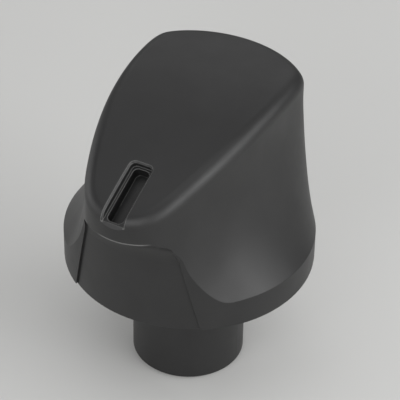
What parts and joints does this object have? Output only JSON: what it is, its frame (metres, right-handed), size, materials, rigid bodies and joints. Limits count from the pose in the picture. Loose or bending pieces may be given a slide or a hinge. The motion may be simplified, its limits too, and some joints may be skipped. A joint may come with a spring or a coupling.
{
  "type": "gas control knob",
  "caption": "Push-on gas control knob: round skirt, scooped grip with a pointing nose and an empty pointer groove, and a long stem with a sprung D-shaped spindle socket.",
  "frame": {"origin": "centre of the stem's end face, on the spindle's axis", "axes": "+Z along the stem towards the crown, -Y towards the pointing nose, X across the grip"},
  "size_m": [0.04, 0.044, 0.0507],
  "materials": {
    "moulding": "satin charcoal-black moulded plastic with a fine texture",
    "spring_steel": "bright rolled spring steel"
  },
  "bodies": {
    "root": {"knob_body": "moulding", "spring_clip": "spring_steel"}
  },
  "joints": []
}
